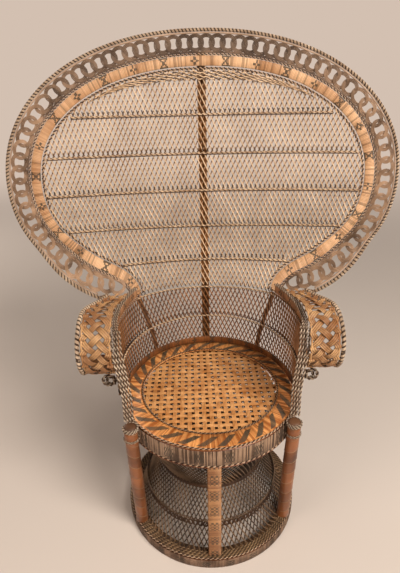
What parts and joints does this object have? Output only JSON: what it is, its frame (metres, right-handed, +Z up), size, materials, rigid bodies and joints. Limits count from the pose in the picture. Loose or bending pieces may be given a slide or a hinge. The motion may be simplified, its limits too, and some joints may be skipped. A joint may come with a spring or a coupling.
{
  "type": "peacock chair",
  "caption": "High-backed woven cane armchair with a wide oval fan back, curved lattice wings, rolled plaited arms, a round cane seat and an hourglass lattice stand.",
  "frame": {"origin": "on the floor, in the middle of the chair's width and depth", "axes": "+Z up, +Y towards the back of the chair, so that the sitter looks towards -Y, and +X to the right for someone who faces the chair"},
  "size_m": [1.134, 0.636, 1.38],
  "materials": {
    "lattice_cane": "dry satin cane, tan-brown",
    "wound_cane": "smooth honey-orange split cane, soft gloss",
    "rattan_pole": "dark red-brown rattan, satin",
    "twisted_edging": "two-tone twisted cane, pale straw and brown"
  },
  "bodies": {
    "root": {"base_hoop_bottom": "rattan_pole", "base_hoop_top": "rattan_pole", "base_wrap": "lattice_cane", "base_braid": "lattice_cane", "seat_hoop_upper": "rattan_pole", "seat_hoop_lower": "rattan_pole", "seat_apron": "lattice_cane", "seat_border": "wound_cane", "seat_panel": "wound_cane", "seat_panel_binding": "twisted_edging", "seat_edge_twist_top": "twisted_edging", "seat_edge_twist_bottom": "twisted_edging", "seat_cross_bar_upper": "rattan_pole", "seat_cross_bar_lower": "rattan_pole", "stand_net_lower": "lattice_cane", "stand_waist_hoop": "rattan_pole", "stand_net_upper": "lattice_cane", "stand_row": "rattan_pole", "front_leg_right": "wound_cane", "front_leg_left": "wound_cane", "leg_collar_right": "lattice_cane", "leg_collar_left": "lattice_cane", "front_slat": "wound_cane", "rear_post_right": "rattan_pole", "rear_post_left": "rattan_pole", "back_spine": "rattan_pole", "wall_net": "lattice_cane", "seat_frieze": "wound_cane", "wall_row": "twisted_edging", "wing_rail": "twisted_edging", "wing_band_right": "wound_cane", "wing_band_left": "wound_cane", "wing_twist_right": "twisted_edging", "wing_twist_left": "twisted_edging", "wing_strip_right": "twisted_edging", "wing_strip_left": "twisted_edging", "fan_net": "lattice_cane", "fan_inner_hoop": "twisted_edging", "fan_band": "wound_cane", "fan_middle_hoop": "rattan_pole", "fan_pale_hoop": "twisted_edging", "fan_rim": "lattice_cane", "fan_loop_border": "lattice_cane", "fan_row_1": "twisted_edging", "fan_row_2": "twisted_edging", "fan_row_3": "twisted_edging", "fan_row_4": "twisted_edging", "fan_row_5": "twisted_edging", "fan_crown_braid": "twisted_edging", "arm_plait_right": "wound_cane", "arm_plait_left": "wound_cane", "arm_rim_right": "twisted_edging", "arm_rim_left": "twisted_edging", "arm_roll_bar_right": "rattan_pole", "arm_roll_bar_left": "rattan_pole", "arm_brace_right": "rattan_pole", "arm_brace_left": "rattan_pole", "arm_scroll_right": "lattice_cane", "arm_scroll_left": "lattice_cane"}
  },
  "joints": []
}
